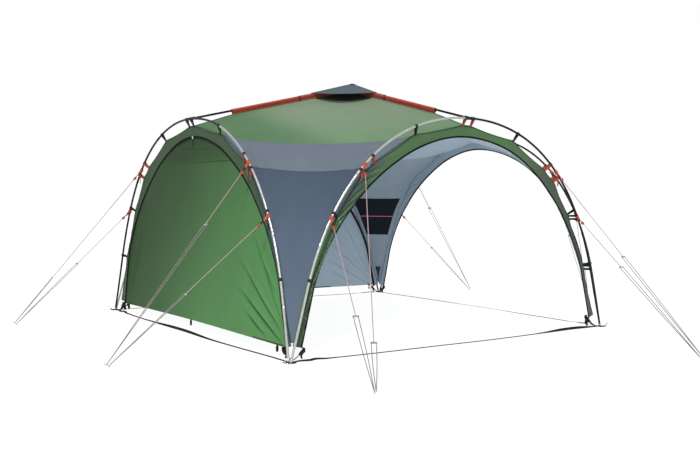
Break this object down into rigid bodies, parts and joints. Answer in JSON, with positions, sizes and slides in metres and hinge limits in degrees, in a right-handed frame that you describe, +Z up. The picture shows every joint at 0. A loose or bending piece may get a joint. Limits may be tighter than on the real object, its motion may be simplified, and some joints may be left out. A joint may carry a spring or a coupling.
{
  "type": "camping shelter",
  "caption": "Square camping shelter: arched corner-to-corner poles on each side, a sewn canopy with a vented cap, curtain walls on two sides, guy lines and pegs.",
  "frame": {"origin": "on the ground, at the middle of the square between the four feet", "axes": "+Z up; -Y out through the open front arch, +X out through the open right arch, -X and +Y out through the curtain walls"},
  "size_m": [5.909, 6.809, 2.339],
  "materials": {
    "silver_pole": "satin",
    "black_plastic": "matt",
    "green_fabric": "coated woven polyester",
    "light_grey_fabric": "coated woven polyester",
    "grey_blue_fabric": "coated woven polyester",
    "red_fabric": "woven",
    "grey_fabric": "coated woven polyester",
    "netting": "fine netting",
    "black_webbing": "woven webbing",
    "guy_line": "braided cord"
  },
  "bodies": {
    "root": {"hoop_front": "silver_pole", "hoop_right": "silver_pole", "hoop_back": "silver_pole", "hoop_left": "silver_pole", "roof_pole_front": "silver_pole", "roof_pole_right": "silver_pole", "roof_pole_back": "silver_pole", "roof_pole_left": "silver_pole", "hub": "black_plastic", "roof_panel_front_left": "green_fabric", "roof_panel_front_right": "green_fabric", "roof_panel_back_right": "green_fabric", "roof_panel_back_left": "green_fabric", "corner_band_front_left": "light_grey_fabric", "corner_band_front_right": "light_grey_fabric", "corner_band_back_right": "light_grey_fabric", "corner_band_back_left": "light_grey_fabric", "corner_panel_front_left": "grey_blue_fabric", "corner_panel_front_right": "grey_blue_fabric", "corner_panel_back_right": "grey_blue_fabric", "corner_panel_back_left": "grey_blue_fabric", "brow_front": "green_fabric", "brow_right": "green_fabric", "brow_back": "green_fabric", "brow_left": "green_fabric", "sleeve_front": "red_fabric", "sleeve_right": "red_fabric", "sleeve_back": "red_fabric", "sleeve_left": "red_fabric", "cap": "grey_fabric", "vent_netting": "netting", "curtain_left": "green_fabric", "curtain_back": "green_fabric", "mesh_pocket": "netting", "foot_front_left": "black_webbing", "foot_front_right": "black_webbing", "foot_back_right": "black_webbing", "foot_back_left": "black_webbing", "ground_strap_front": "black_webbing", "ground_strap_right": "black_webbing", "ground_strap_back": "black_webbing", "ground_strap_left": "black_webbing", "guy_front_left": "guy_line", "guy_front_right": "guy_line", "guy_right_front": "guy_line", "guy_right_back": "guy_line", "guy_back_right": "guy_line", "guy_back_left": "guy_line", "guy_left_back": "guy_line", "guy_left_front": "guy_line"}
  },
  "joints": []
}
